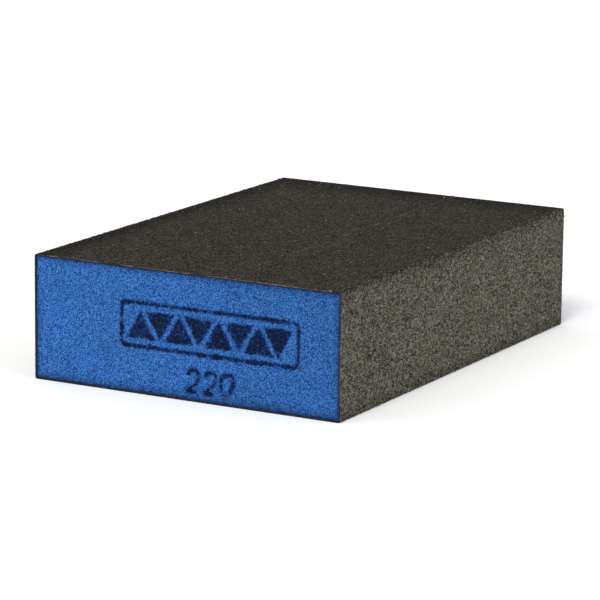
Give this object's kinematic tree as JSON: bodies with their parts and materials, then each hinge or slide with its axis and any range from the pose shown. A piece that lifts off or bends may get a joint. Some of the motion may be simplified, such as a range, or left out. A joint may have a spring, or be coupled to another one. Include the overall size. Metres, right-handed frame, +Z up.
{
  "type": "sanding block",
  "caption": "Rectangular foam sanding block: a firm foam core with layered abrasive coats on its four long faces, bare cut ends, and a grit number stamped on one end.",
  "frame": {"origin": "centre of the bottom face of the block", "axes": "+Z up through the block's thickness, +Y along its length away from the printed end, +X across its width"},
  "size_m": [0.0704, 0.1016, 0.0259],
  "materials": {
    "foam": "blue open-cell polyurethane foam, cut face, matt",
    "make_resin": "tan cured resin film, seen only as a thin line at the cut ends",
    "abrasive_grain": "dark brown-grey aluminium oxide grain, fine grade",
    "size_resin": "dark brown-grey resin over fine grain, matt",
    "side_abrasive_grain": "olive-grey aluminium oxide grain, fine grade",
    "side_size_resin": "olive-grey resin over fine grain on pitted foam, matt",
    "stamping_ink": "dark navy ink soaked into foam, matt"
  },
  "bodies": {
    "root": {"foam_core": "foam", "top_make_coat": "make_resin", "top_grain_bed": "abrasive_grain", "top_size_coat": "size_resin", "bottom_make_coat": "make_resin", "bottom_grain_bed": "abrasive_grain", "bottom_size_coat": "size_resin", "left_make_coat": "make_resin", "left_grain_bed": "side_abrasive_grain", "left_size_coat": "side_size_resin", "right_make_coat": "make_resin", "right_grain_bed": "side_abrasive_grain", "right_size_coat": "side_size_resin", "stamped_border": "stamping_ink", "stamped_grain_marks": "stamping_ink", "stamped_grit_number": "stamping_ink"}
  },
  "joints": []
}
